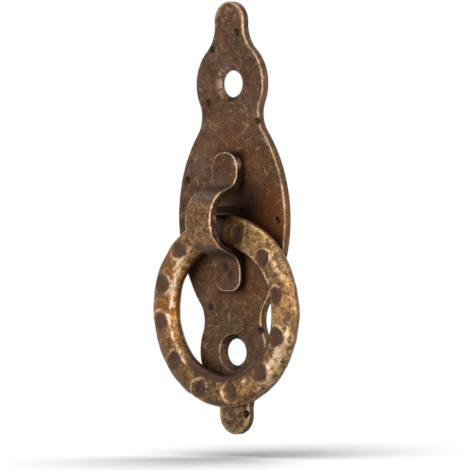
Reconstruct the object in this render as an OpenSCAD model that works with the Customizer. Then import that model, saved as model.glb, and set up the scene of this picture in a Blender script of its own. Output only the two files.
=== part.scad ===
// Ring pull on a shaped backplate, in antique brass.
// A bent strap is riveted through the plate and a hammered ring hangs in it.
// Origin: centre of the plate's back face. +Z is up and the front faces -Y.

/* [Backplate] */
// Height of the backplate from tip to tip
plate_h = 80.7; // [68:0.5:97]
// Width of the backplate across its middle
plate_w = 27; // [23:0.5:33]
// Thickness of the backplate
plate_t = 1.6; // [1.3:0.1:2.4]
// Radius of the long curve on each side of the middle
side_r = 27; // [24:0.5:34]
// Radius of the hollow curve at the waist, between middle and lobe
waist_r = 5.4; // [4.5:0.1:7]
// Radius of the lobe round each screw hole
lobe_r = 8.5; // [7.2:0.1:9.8]
// Radius of the hollow curve between lobe and tip
neck_r = 6.4; // [5:0.1:8]
// Radius of the rounded tip
tip_r = 3.75; // [3:0.05:4.5]
// Radius of the worn front edge of the plate
plate_edge_r = 0.4; // [0.2:0.05:0.5]

/* [Screw holes] */
// Distance between the two screw holes
screw_pitch = 50; // [44:0.5:58]
// Diameter of the screw holes
screw_d = 5; // [4:0.1:5.8]
// Diameter of the countersink at the front face
sink_d = 6.9; // [6.4:0.1:8.2]
// Depth of the countersink
sink_depth = 1; // [0.6:0.1:1.2]

/* [Punch marks] */
// Diameter of a punched dot
dot_d = 1.1; // [0.8:0.05:1.4]
// Depth of a punched dot
dot_depth = 0.45; // [0.3:0.05:0.7]

/* [Strap] */
// Width of the strap
strap_w = 6.3; // [5.2:0.1:7.6]
// Thickness of the strap at the front of its arch
strap_t = 1.8; // [1.5:0.1:2.2]
// Thickness of the upper tongue
top_tongue_t = 1.75; // [1.4:0.05:2.1]
// Thickness of the lower tongue
low_tongue_t = 1.2; // [1:0.05:1.5]
// Length of the flat upper tongue, up to its round end
top_tongue_len = 3.75; // [3.2:0.05:4.5]
// Length of the flat lower tongue, up to its round end
low_tongue_len = 3.9; // [3.2:0.05:4.7]
// Corner radius of the upper tongue's end
top_corner_r = 2.9; // [2.2:0.05:3.1]
// Corner radius of the lower tongue's end
low_corner_r = 2.3; // [1.8:0.05:3.1]
// Outside radius of the arch
arch_r = 6; // [5:0.1:7.2]
// Radius of the hollow bend between each leg and its tongue
bend_r = 3; // [2.4:0.1:3.6]
// Angle through which each leg turns back from the front of the arch
leg_turn = 71; // [66:1:76]
// Radius inside the arch
hollow_r = 4.4; // [3.6:0.1:5]
// Radius of the worn long edges of the strap
strap_edge_r = 0.45; // [0.2:0.05:0.55]

/* [Tenon] */
// Width of the tenon that fixes the strap
tenon_w = 4.8; // [4:0.1:5.6]
// Thickness of the tenon
tenon_t = 1.1; // [0.9:0.05:1.4]
// How far the riveted head of the tenon spreads on each side
head_lip = 0.6; // [0.4:0.05:0.8]
// Thickness of the riveted head of the tenon
head_t = 0.45; // [0.3:0.05:0.6]
// Clearance of the tenon in its slot
tenon_clear = 0.05; // [0.02:0.01:0.1]

/* [Ring] */
// Diameter of the ring, measured to the middle of its section
ring_d = 29.8; // [25:0.1:35.8]
// Width of the ring's section, in the plane of the ring
ring_w = 6; // [5:0.1:7.2]
// Thickness of the ring's section
ring_t = 3.2; // [2.7:0.1:3.8]
// Radius of the rounded inner and outer edge of the ring
ring_edge_r = 1.15; // [0.9:0.05:1.3]
// Angle at which the top of the resting ring leans forward
ring_lean = 0.5; // [0:0.1:1.5]
// Radius of the hammer that struck the hollows
hammer_r = 3.2; // [2.6:0.1:4]
// Depth of the hammered hollows
hammer_depth = 0.7; // [0.4:0.05:0.8]

/* [Fits] */
// Height of the middle of the ring's top section, from the plate's middle
seat_y = -2.4; // [-2.8:0.05:-2]
// Gap between the resting ring and the plate
rest_gap = 0.15; // [0.1:0.05:0.3]
// Gap between the resting ring and the tenon above it
tenon_gap = 0.4; // [0.3:0.05:0.6]
// Gap below the resting ring, down to the strap's lower leg
leg_gap = 0.6; // [0.5:0.05:0.8]
// Depth to spare in the arch when the ring stands straight out
depth_gap = 1.6; // [1.4:0.1:2.2]

/* [Hidden] */
$fn = 96;

// Work is drawn lying on its back: x to the right, y up the plate and z forward from the wall.
brass_dark = [0.36, 0.25, 0.18];
brass_worn = [0.55, 0.42, 0.25];
brass_ring = [0.60, 0.45, 0.26];
cut = 1;

// Middle points of the plate's round stretches, for the upper right quarter.
side_c = [plate_w / 2 - side_r, 0];
lobe_c = [0, screw_pitch / 2];
tip_c = [0, plate_h / 2 - tip_r];
waist_c = outer_meet(side_c, side_r + waist_r, lobe_c, lobe_r + waist_r);
neck_c = outer_meet(lobe_c, lobe_r + neck_r, tip_c, tip_r + neck_r);

// Punched dots on the plate, set by hand as on the original: [x, y].
DOTS = [[2, 34.5], [-4.3, 31.5], [-5.4, 21.6], [6.8, 17.9], [-10.9, 7.3], [11.4, -0.6],
        [-5.6, -16.6], [6.9, -20.9], [3, -36.4]];
// Hammered hollows, set by hand as on the original: [angle clockwise from the ring's top, how far outward
// of the middle of the ring's section].
HOLLOWS = [[17, 0.3], [46.5, -0.4], [78, -0.6], [108.5, -0.5], [139.5, -0.1], [171.5, 0.2],
           [201, 0.6], [231.5, 0.3], [262, 0.7], [290, 0.5], [319, 0.3], [348, 0]];

// The resting ring.
ring_r = ring_d / 2;
ring_bore_r = ring_r - ring_w / 2;
ring_centre_y = seat_y - ring_r * cos(ring_lean);
ring_centre_z = plate_t + rest_gap + ring_t / 2 + ring_r * sin(ring_lean);
ring_top_z = ring_centre_z + ring_r * sin(ring_lean);
// Lowest point that the ring's hole reaches within the strap's width.
ring_under_y = ring_centre_y + sqrt(ring_bore_r * ring_bore_r - strap_w * strap_w / 4);
tenon_y = seat_y + ring_w / 2 + tenon_gap;

// Side view of the strap, as [height up the plate, distance forward].
hollow_front = plate_t + ring_w + depth_gap;
arch_front = hollow_front + strap_t;
// The hollow meets the plate at a slant, as if its bend ended a little inside the plate.
hollow_foot = plate_t - 0.1;
low_hollow_r = low_tongue_t + bend_r;
top_hollow_r = top_tongue_t + bend_r;
// The lower leg passes under the ring's top section with leg_gap to spare.
low_leg_y = ring_under_y - leg_gap;
low_hollow_y = low_leg_y + reach(hollow_front - hollow_foot, hollow_r, low_hollow_r)
    - sqrt(pow(low_hollow_r, 2) - pow(hollow_foot + low_hollow_r - ring_top_z, 2));
arch_y = low_hollow_y + arch_r - hollow_r - strap_t / 2 + 0.05;
top_hollow_y = arch_y + strap_t / 6;

// Middle of a circle that lies r1 from point a and r2 from point b, on the right of the line up.
function outer_meet(a, r1, b, r2) =
    let (gap = norm(b - a))
    let (run = (gap * gap + r1 * r1 - r2 * r2) / (2 * gap))
    let (rise = sqrt(r1 * r1 - run * run))
    let (way = (b - a) / gap)
    a + way * run + [way[1], -way[0]] * rise;

// Direction from point a to point b, in degrees from the x axis.
function heading(a, b) = atan2(b[1] - a[1], b[0] - a[0]);

// Length of the straight leg that makes up the rest of a drop between two bends.
function leg_len(drop, r1, r2) = (drop - (r1 + r2) * (1 - cos(leg_turn))) / sin(leg_turn);

// Distance along the plate from the middle of an arch to the middle of its bend.
function reach(drop, r1, r2) = (r1 + r2) * sin(leg_turn) + leg_len(drop, r1, r2) * cos(leg_turn);

// Points of an arc round c from angle a1 to angle a2, in n steps.
function arc(c, r, a1, a2, n) = [for (i = [0:n]) let (a = a1 + (a2 - a1) * i / n) c + r * [cos(a), sin(a)]];

// Stands the work up, from lying on its back.
module upright() {
    rotate([90, 0, 0]) children();
}

// Closed skin over a row of loops that all have the same number of points, with a flat end on each.
module loft(loops, first_end, last_end) {
    n = len(loops[0]);
    m = len(loops);
    sides = [for (j = [0:m - 2], i = [0:n - 1]) let (k = (i + 1) % n)
        each [[j * n + i, (j + 1) * n + i, (j + 1) * n + k], [j * n + i, (j + 1) * n + k, j * n + k]]];
    last = [for (f = last_end) [for (i = f) i + (m - 1) * n]];
    polyhedron([for (loop = loops) each loop], concat(first_end, sides, last), convexity = 6);
}

// Right edge of the plate from its lowest to its highest point, drawn in by d.
function right_edge(d) =
    let (side_top = heading(side_c, waist_c))
    let (quarter = concat(
        arc(side_c, side_r - d, 0, side_top, 7),
        tail(arc(waist_c, waist_r + d, 180 + side_top, 180 + heading(lobe_c, waist_c), 9)),
        tail(arc(lobe_c, lobe_r - d, heading(lobe_c, waist_c), heading(lobe_c, neck_c), 12)),
        tail(arc(neck_c, neck_r + d, 180 + heading(lobe_c, neck_c), 180 + heading(tip_c, neck_c), 8)),
        tail(arc(tip_c, tip_r - d, heading(tip_c, neck_c), 90, 10))))
    concat([for (i = [len(quarter) - 1:-1:1]) [quarter[i][0], -quarter[i][1]]], quarter);

// A list without its first item.
function tail(v) = [for (i = [1:len(v) - 1]) v[i]];

// Whole outline of the plate at height z, drawn in by d.
function plate_loop(d, z) =
    let (right = right_edge(d))
    let (m = len(right) - 1)
    concat([for (p = right) [p[0], p[1], z]], [for (i = [m - 1:-1:1]) [-right[i][0], right[i][1], z]]);

// Faces of the plate's flat back or front, in strips from side to side.
function plate_strips(m, front) =
    let (strips = concat([[0, 1, 2 * m - 1]],
        [for (i = [1:m - 2]) [i, i + 1, 2 * m - i - 1, 2 * m - i]], [[m - 1, m, m + 1]]))
    front ? [for (f = strips) [for (i = [len(f) - 1:-1:0]) f[i]]] : strips;

// The whole plate before its holes are made.
module plate_blank() {
    e = plate_edge_r;
    m = len(right_edge(0)) - 1;
    loops = concat([plate_loop(0, 0)],
        [for (a = [0:22.5:90]) plate_loop(e * (1 - cos(a)), plate_t - e * (1 - sin(a)))]);
    loft(loops, plate_strips(m, false), plate_strips(m, true));
}

// Countersunk screw hole.
module screw_hole() {
    translate([0, 0, -cut]) cylinder(h = plate_t + 2 * cut, d = screw_d);
    translate([0, 0, plate_t - sink_depth]) cylinder(h = sink_depth, d1 = screw_d, d2 = sink_d);
    translate([0, 0, plate_t]) cylinder(h = cut, d = sink_d);
}

// Punched dot with a pointed bottom.
module punched_dot() {
    rotate_extrude() polygon([[0, -dot_depth], [dot_d / 2, -dot_depth / 2], [dot_d / 2, cut], [0, cut]]);
}

// Slot for the tenon, with a recess at the back for its riveted head.
module tenon_slot() {
    tenon_block(tenon_w, tenon_clear, -cut, plate_t + cut);
    tenon_block(tenon_w + 2 * head_lip, tenon_clear, -cut, head_t + tenon_clear);
}

// Block round the tenon from height z1 to z2: w wide, with room for a clearance all round.
module tenon_block(w, clear, z1, z2) {
    high = tenon_t + w - tenon_w + 2 * clear;
    wide = w + 2 * clear;
    translate([-wide / 2, tenon_y + tenon_t / 2 - high / 2, z1]) cube([wide, high, z2 - z1]);
}

module backplate() {
    color(brass_dark) upright() difference() {
        plate_blank();
        for (end = [-1, 1]) translate([0, end * screw_pitch / 2, 0]) screw_hole();
        for (p = DOTS) translate([p[0], p[1], plate_t]) punched_dot();
        tenon_slot();
    }
}

// Half of a bent curve, from just beyond the front of its arch at [y, front] to its foot: way is 1 for up.
function half_bend(y, front, r, foot_r, foot, rest_angle, way) =
    let (bend_y = y + way * reach(front - foot, r, foot_r))
    concat(
        [for (i = [1:14]) let (a = leg_turn * i / 14) [y + way * r * sin(a), front - r + r * cos(a)]],
        [for (i = [0:9]) let (a = leg_turn + (rest_angle - leg_turn) * i / 9)
            [bend_y - way * foot_r * sin(a), foot + foot_r - foot_r * cos(a)]]);

// Pairs of front and back points of one half of the strap.
function half_pairs(y, hollow_y, tongue_t, foot_r, way) =
    let (outside = half_bend(y, arch_front, arch_r, bend_r, plate_t + tongue_t, 0, way))
    let (inside = half_bend(hollow_y, hollow_front, hollow_r, foot_r, hollow_foot,
        acos(1 - (plate_t - hollow_foot) / foot_r), way))
    [for (i = [0:len(outside) - 1]) [outside[i], inside[i], strap_w / 2]];

// Pairs along a flat tongue whose end has round corners of radius r.
function tongue_pairs(start, length, t, r, way) =
    let (end = start + way * length)
    [for (i = [0:9]) let (a = 10 * i) let (d = r * (1 - sin(a)))
        let (front = plate_t + t - edge_drop(d))
        [[end - way * d, front], [end - way * d, plate_t], strap_w / 2 - r + r * cos(a)]];

// How far a worn edge drops at distance d from its end.
function edge_drop(d) =
    d >= strap_edge_r ? 0 : strap_edge_r - sqrt(pow(strap_edge_r, 2) - pow(strap_edge_r - d, 2));

// Section of the strap through a pair of front and back points: [x, y, z] points, front edges rounded.
function strap_loop(pair) =
    let (front = pair[0])
    let (back = pair[1])
    let (half = pair[2])
    let (depth = norm(front - back))
    let (e = min(strap_edge_r, half, depth))
    let (right = arc([half - e, depth - e], e, 0, 90, 5))
    let (outline = concat([[-half, 0], [half, 0]], right, [for (i = [5:-1:0]) [-right[i][0], right[i][1]]]))
    [for (p = outline) let (q = back + (front - back) * p[1] / depth) [p[0], q[0], q[1]]];

// The strap's bent body, from its upper end to its lower end.
module strap_body() {
    low = half_pairs(arch_y, low_hollow_y, low_tongue_t, low_hollow_r, -1);
    top = half_pairs(arch_y, top_hollow_y, top_tongue_t, top_hollow_r, 1);
    low_end = tongue_pairs(low[len(low) - 1][0][0], low_tongue_len, low_tongue_t, low_corner_r, -1);
    top_end = tongue_pairs(top[len(top) - 1][0][0], top_tongue_len, top_tongue_t, top_corner_r, 1);
    middle = [[arch_y, arch_front], [arch_y, hollow_front], strap_w / 2];
    pairs = concat(backwards(top_end), backwards(top), [middle], low, low_end);
    loops = [for (pair = pairs) strap_loop(pair)];
    n = len(loops[0]);
    loft(loops, [[for (i = [0:n - 1]) i]], [[for (i = [n - 1:-1:0]) i]]);
}

// A list in backward order.
function backwards(v) = [for (i = [len(v) - 1:-1:0]) v[i]];

// Tenon from inside the arch through the plate, with its head riveted over flush with the back.
module tenon() {
    tenon_block(tenon_w, 0, 0, hollow_front + strap_t / 3);
    tenon_block(tenon_w + 2 * head_lip, 0, 0, head_t);
}

module strap() {
    color(brass_worn) upright() {
        strap_body();
        tenon();
    }
}

// Quarter of the ring's oval section, from its outer edge to the middle of its face.
function oval_quarter(a, b, e) =
    let (face_r = (pow(a - e, 2) + b * b - e * e) / (2 * (b - e)))
    let (turn = atan2(face_r - b, a - e))
    concat(arc([a - e, 0], e, 0, turn, 6), tail(arc([0, b - face_r], face_r, turn, 90, 4)));

// Oval section of the ring about its middle.
module ring_section() {
    corner = oval_quarter(ring_w / 2, ring_t / 2, ring_edge_r);
    half = concat(corner, [for (i = [len(corner) - 2:-1:0]) [-corner[i][0], corner[i][1]]]);
    polygon(concat(half, [for (i = [len(half) - 2:-1:1]) [half[i][0], -half[i][1]]]));
}

module ring() {
    color(brass_ring) upright() translate([0, ring_centre_y, ring_centre_z]) rotate([ring_lean, 0, 0])
        difference() {
            rotate_extrude($fn = 144) translate([ring_r, 0]) ring_section();
            for (p = HOLLOWS) rotate([0, 0, 90 - p[0]])
                translate([ring_r + p[1], 0, ring_t / 2 - hammer_depth + hammer_r]) sphere(hammer_r);
        }
}

backplate();
strap();
ring();
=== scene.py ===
"""Looks of a ring pull: a shaped backplate, a bent strap and a hammered ring in aged brass.

Shapes are worked out in millimetres with the plate lying on its back: x to the
right, y up the plate and z forward from the wall. They are stood up in metres
when their meshes are made.
"""

from __future__ import annotations

import logging
import math
from dataclasses import dataclass
from enum import Enum
from functools import reduce
from operator import or_
from typing import Any, Iterable, Sequence

import bmesh
import bpy
import numpy as np
from mathutils import Matrix, Vector
from mathutils.geometry import delaunay_2d_cdt

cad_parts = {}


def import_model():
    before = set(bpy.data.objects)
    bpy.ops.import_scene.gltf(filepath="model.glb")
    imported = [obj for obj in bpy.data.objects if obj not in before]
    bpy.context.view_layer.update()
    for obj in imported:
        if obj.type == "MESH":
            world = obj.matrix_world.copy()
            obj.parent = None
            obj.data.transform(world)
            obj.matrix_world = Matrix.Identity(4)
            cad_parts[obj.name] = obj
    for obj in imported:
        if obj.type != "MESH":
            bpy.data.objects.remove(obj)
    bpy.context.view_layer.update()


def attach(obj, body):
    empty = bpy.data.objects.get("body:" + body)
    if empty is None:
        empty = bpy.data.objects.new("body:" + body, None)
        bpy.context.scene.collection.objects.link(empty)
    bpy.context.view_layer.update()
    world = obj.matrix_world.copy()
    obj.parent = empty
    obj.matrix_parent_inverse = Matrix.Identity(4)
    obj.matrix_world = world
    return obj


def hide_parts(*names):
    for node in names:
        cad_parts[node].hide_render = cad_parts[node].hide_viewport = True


LOG = logging.getLogger("ring_pull")
MM = 0.001
WELD_GAP = 0.002 * MM
TABLE_SIZE = 4096
HASH_PRIMES = np.array([73856093, 19349663, 83492791])
Colour = tuple[float, float, float]
Box = tuple[float, float, float, float]
Cut = tuple[float, float, float, float, float]
Smudge = tuple[float, float, float, float, float]
Masks = dict[str, np.ndarray]
WHITE: Colour = (1.0, 1.0, 1.0)


# ---------------------------------------------------------------- shader help


class Sock:
    """A shader socket that takes part in Python sums."""

    def __init__(self, nodes: Nodes, socket: bpy.types.NodeSocket | None) -> None:
        """Keep the socket and the tree it belongs to."""
        self.nodes = nodes
        self.socket = socket

    def _math(self, operation: str, *values: Sock | float) -> Sock:
        """Add one Math node."""
        return self.nodes.node("ShaderNodeMath", {"operation": operation}, dict(enumerate(values)))

    def __add__(self, other: Sock | float) -> Sock:
        """Sum."""
        return self._math("ADD", self, other)

    __radd__ = __add__

    def __sub__(self, other: Sock | float) -> Sock:
        """Difference."""
        return self._math("SUBTRACT", self, other)

    def __rsub__(self, other: Sock | float) -> Sock:
        """Difference, reflected."""
        return self._math("SUBTRACT", other, self)

    def __mul__(self, other: Sock | float) -> Sock:
        """Product."""
        return self._math("MULTIPLY", self, other)

    __rmul__ = __mul__

    def __or__(self, other: Sock | float) -> Sock:
        """Union of two masks: the larger value."""
        return self._math("MAXIMUM", self, other)

    def step(self, low: float, high: float) -> Sock:
        """Smooth step from 0 at low to 1 at high.

        Args:
            low: value at which the step starts.
            high: value at which the step ends; may be below low.

        Returns:
            The stepped value.
        """
        sockets = {"Value": self, "From Min": low, "From Max": high}
        return self.nodes.node("ShaderNodeMapRange", {"interpolation_type": "SMOOTHSTEP"}, sockets)

    def clamped(self) -> Sock:
        """The value held between 0 and 1."""
        return self.nodes.node("ShaderNodeClamp", {}, {"Value": self})


class Nodes:
    """The node tree of one material or of the world."""

    def __init__(self, owner: bpy.types.Material | bpy.types.World) -> None:
        """Start with an empty tree."""
        owner.use_nodes = True
        self.tree = owner.node_tree
        self.tree.nodes.clear()

    def node(
        self, kind: str, settings: dict[str, Any], sockets: dict[Any, Any], out: int | str = 0
    ) -> Sock:
        """Add any node.

        Args:
            kind: the node's type.
            settings: its properties, set first.
            sockets: values or links for its inputs, by name or number.
            out: name or number of the output that is wanted.

        Returns:
            That output.
        """
        made = self.tree.nodes.new(kind)
        for key, value in settings.items():
            setattr(made, key, value)
        for key, value in sockets.items():
            target = made.inputs[key]
            if isinstance(value, Sock):
                self.tree.links.new(value.socket, target)
            elif isinstance(value, tuple) and target.type == "RGBA":
                target.default_value = (*value, 1.0)
            else:
                target.default_value = value
        return Sock(self, made.outputs[out] if made.outputs else None)

    def mix(
        self, factor: Sock | float, first: Sock | Colour, second: Sock | Colour, blend: str = "MIX"
    ) -> Sock:
        """Mix two colours.

        Args:
            factor: share of the second colour.
            first: colour at 0.
            second: colour at 1.
            blend: blend type.

        Returns:
            The mixed colour.
        """
        settings = {"data_type": "RGBA", "blend_type": blend}
        return self.node("ShaderNodeMix", settings, {0: factor, 6: first, 7: second}, 2)

    def vector(self, operation: str, *values: Any, out: int | str = 0) -> Sock:
        """Add one Vector Math node."""
        settings = {"operation": operation}
        return self.node("ShaderNodeVectorMath", settings, dict(enumerate(values)), out)

    def noise(
        self, place: Sock, size: float, detail: float, rough: float = 0.55, twist: float = 0.0
    ) -> Sock:
        """Add a noise.

        Args:
            place: where it is read.
            size: size of its bumps.
            detail: number of its finer layers.
            rough: weight of the finer layers.
            twist: how far it is bent.

        Returns:
            Its value.
        """
        sockets = {"Vector": place, "Scale": 1.0 / size, "Detail": detail}
        sockets |= {"Roughness": rough, "Distortion": twist}
        return self.node("ShaderNodeTexNoise", {}, sockets, "Fac")

    def shader(self, kind: str, **sockets: Any) -> Sock:
        """Add one shader with the values or links of its named sockets."""
        return self.node(f"ShaderNode{kind}", {}, sockets)

    def blended(self, factor: Sock, *shaders: Sock) -> Sock:
        """Mix two shaders, or one with black; the last is the one at 1."""
        return self.node("ShaderNodeMixShader", {}, {0: factor, **dict(zip((2, 1), shaders[::-1]))})

    def finish(self, kind: str, surface: Sock) -> None:
        """Show a shader on the surface of a Material or the World."""
        self.node(f"ShaderNodeOutput{kind}", {}, {"Surface": surface})

    def local(self) -> Sock:
        """Place on the piece in metres."""
        return self.node("ShaderNodeTexCoord", {}, {}, "Object")

    def attribute(self, name: str) -> Sock:
        """A mask that is stored on the mesh."""
        return self.node("ShaderNodeAttribute", {"attribute_name": name}, {}, "Fac")

    def seen(self) -> Sock:
        """Mask of rays from the camera, from polished metal and through glass."""
        kinds = ("Is Camera Ray", "Is Glossy Ray", "Is Transmission Ray")
        return reduce(or_, [self.node("ShaderNodeLightPath", {}, {}, kind) for kind in kinds])


# ---------------------------------------------------------------- mesh help


def grain(points: np.ndarray, size: float, seed: int) -> np.ndarray:
    """Smooth value noise.

    Args:
        points: places, one row each, in millimetres.
        size: size of one bump in millimetres.
        seed: number that picks the pattern.

    Returns:
        One value from -1 to 1 for each place.
    """
    table = np.random.default_rng(seed).uniform(-1.0, 1.0, TABLE_SIZE)
    scaled = points / size
    cell = np.floor(scaled).astype(np.int64)
    part = scaled - cell
    part = part * part * (3.0 - 2.0 * part)
    total = np.zeros(len(points))
    for corner in range(8):
        step = np.array([corner & 1, corner >> 1 & 1, corner >> 2 & 1])
        key = np.bitwise_xor.reduce((cell + step) * HASH_PRIMES, axis=1)
        weight = np.prod(np.where(step == 1, part, 1.0 - part), axis=1)
        total += weight * table[key % TABLE_SIZE]
    return total


def eased(value: np.ndarray) -> np.ndarray:
    """Smooth step of values held between 0 and 1."""
    held = np.clip(value, 0.0, 1.0)
    return held * held * (3.0 - 2.0 * held)


def fading(gap: np.ndarray, reach: float) -> np.ndarray:
    """1 where the gap is 0, falling away smoothly over the reach."""
    return np.exp(-((gap / reach) ** 2))


def most(*masks: np.ndarray | float) -> np.ndarray:
    """The largest of several masks at each point."""
    return reduce(np.maximum, masks)


def turned_from(angle: np.ndarray, place: float) -> np.ndarray:
    """Turn in radians from a place in degrees to each angle, at most half a turn."""
    return np.angle(np.exp(1j * (angle - math.radians(place))))


def arc(
    centre: Sequence[float], radius: float, start: float, stop: float, steps: int
) -> np.ndarray:
    """Points of an arc.

    Args:
        centre: its middle.
        radius: its radius.
        start: first angle in degrees.
        stop: last angle in degrees.
        steps: number of steps.

    Returns:
        One row of x and y for each point.
    """
    angles = np.radians(np.linspace(start, stop, steps + 1))
    return np.asarray(centre) + radius * np.stack([np.cos(angles), np.sin(angles)], axis=1)


def circle(centre: Sequence[float], radius: float, count: int) -> np.ndarray:
    """A given count of points round a centre."""
    return arc(centre, radius, 0, 360, count)[:-1]


def rounded_box(box: Sequence[float], r: float, steps: int) -> np.ndarray:
    """Round-cornered loop.

    Args:
        box: its lowest x and y, then its highest x and y.
        r: radius of its corners.
        steps: number of steps in a corner.

    Returns:
        One row of x and y for each point.
    """
    x0, y0, x1, y1 = box
    middles = ((x1 - r, y0 + r), (x1 - r, y1 - r), (x0 + r, y1 - r), (x0 + r, y0 + r))
    starts = (-90, 0, 90, 180)
    return np.concatenate([arc(c, r, a, a + 90, steps) for c, a in zip(middles, starts)])


def at_level(loop: np.ndarray, z: np.ndarray | float) -> np.ndarray:
    """Points of a flat loop or sheet, lifted to z."""
    return np.column_stack([loop, np.broadcast_to(z, len(loop))])


def heading(a: np.ndarray, b: np.ndarray) -> float:
    """Angle in degrees of the way from a to b."""
    return math.degrees(math.atan2(b[1] - a[1], b[0] - a[0]))


def outer_meet(a: np.ndarray, r1: float, b: np.ndarray, r2: float) -> np.ndarray:
    """Point where two circles meet, on the right of the way from a to b.

    Args:
        a: middle of the first circle.
        r1: its radius.
        b: middle of the second circle.
        r2: its radius.

    Returns:
        The point.
    """
    gap = float(np.linalg.norm(b - a))
    run = (gap * gap + r1 * r1 - r2 * r2) / (2 * gap)
    way = (b - a) / gap
    return a + way * run + np.array([way[1], -way[0]]) * math.sqrt(r1 * r1 - run * run)


class Ends(Enum):
    """What closes a skin over rings of points."""

    OPEN = "nothing"
    CAPPED = "a face over the first ring and one over the last"
    JOINED = "its last ring meets its first"


def ring_faces(rings: int, around: int, ends: Ends = Ends.OPEN) -> list[tuple[int, ...]]:
    """Faces of a skin over rings of points.

    Args:
        rings: number of rings.
        around: points in each ring.
        ends: what closes the skin.

    Returns:
        The corner numbers of each face.
    """
    faces: list[tuple[int, ...]] = []
    for j in range(rings if ends is Ends.JOINED else rings - 1):
        low, high = j * around, (j + 1) % rings * around
        for i in range(around):
            after = (i + 1) % around
            faces.append((low + i, low + after, high + after, high + i))
    if ends is Ends.CAPPED:
        last = (rings - 1) * around
        faces += [tuple(range(around)), tuple(range(last + around - 1, last - 1, -1))]
    return faces


class Skin:
    """The mesh of one piece, gathered part by part in lying millimetres."""

    def __init__(self) -> None:
        """Start with nothing."""
        self.parts: list[np.ndarray] = []
        self.faces: list[tuple[int, ...]] = []

    def add(self, points: np.ndarray, faces: Iterable[Sequence[int]]) -> None:
        """Add a part.

        Args:
            points: its points, one row each.
            faces: corner numbers of its faces, counted from its first point.
        """
        first = sum(len(part) for part in self.parts)
        self.faces += [tuple(first + i for i in face) for face in faces]
        self.parts.append(points)

    def add_rings(self, rings: Sequence[np.ndarray], ends: Ends = Ends.OPEN) -> None:
        """Add a skin over rings of points."""
        self.add(np.concatenate(rings), ring_faces(len(rings), len(rings[0]), ends))

    def points(self) -> np.ndarray:
        """All points, one row each."""
        return np.concatenate(self.parts)

    def piece(
        self, name: str, masks: Masks, finish: AgedBrass, body: str, node: str
    ) -> bpy.types.Object:
        """Make the smooth piece, weld it, dress it and put it in its node's place.

        Args:
            name: the piece's name.
            masks: values per point that the finish reads.
            finish: what it is made of.
            body: the body that it rides on.
            node: the CAD node that it replaces, which is hidden.

        Returns:
            The piece.
        """
        lying = self.points()
        standing = np.stack([lying[:, 0], -lying[:, 2], lying[:, 1]], axis=1) * MM
        mesh = bpy.data.meshes.new(name)
        mesh.from_pydata(standing.tolist(), [], self.faces)
        mesh.polygons.foreach_set("use_smooth", [True] * len(mesh.polygons))
        for key, values in masks.items():
            layer = mesh.attributes.new(key, "FLOAT", "POINT")
            layer.data.foreach_set("value", np.asarray(values, np.float32))
        shell = bmesh.new()
        shell.from_mesh(mesh)
        bmesh.ops.remove_doubles(shell, verts=shell.verts, dist=WELD_GAP)
        bmesh.ops.recalc_face_normals(shell, faces=shell.faces)
        shell.to_mesh(mesh)
        shell.free()
        mesh.materials.append(finish.material())
        piece = bpy.data.objects.new(name, mesh)
        bpy.context.scene.collection.objects.link(piece)
        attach(piece, body)
        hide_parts(node)
        return piece


# ---------------------------------------------------------------- finishes


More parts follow.
